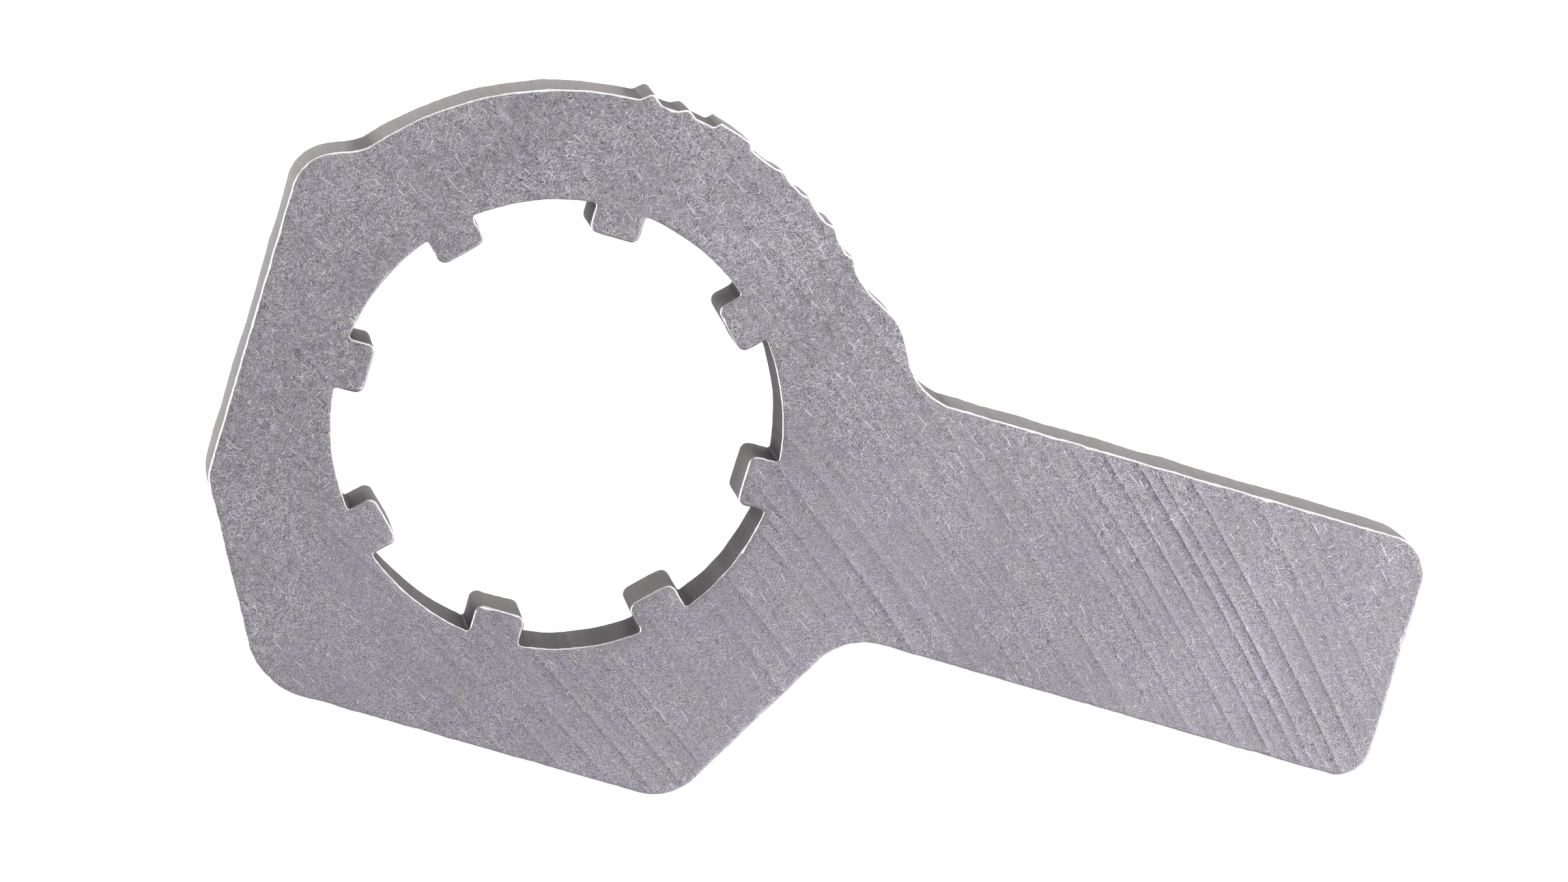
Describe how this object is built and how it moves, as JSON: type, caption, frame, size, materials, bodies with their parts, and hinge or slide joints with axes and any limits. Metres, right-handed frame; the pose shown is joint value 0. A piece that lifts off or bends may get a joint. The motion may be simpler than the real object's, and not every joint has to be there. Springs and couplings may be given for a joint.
{
  "type": "fire hydrant wrench",
  "caption": "One-piece flat aluminium hydrant wrench: a ring with square inner lugs that key into a nozzle, a rim with grip ridges, and a straight handle.",
  "frame": {"origin": "under the middle of the plate's bounding box, on the plane of its back face", "axes": "+X along the handle, away from the ring; +Y across the plate, towards the round rim with the grip ridges; +Z out of the front face"},
  "size_m": [0.2456, 0.138, 0.0254],
  "materials": {
    "plate": "bare aluminium, tumbled to a matt mottled grey, with faint slanting saw marks on the faces and bright rounded edges"
  },
  "bodies": {
    "root": {"wrench_plate": "plate"}
  },
  "joints": []
}
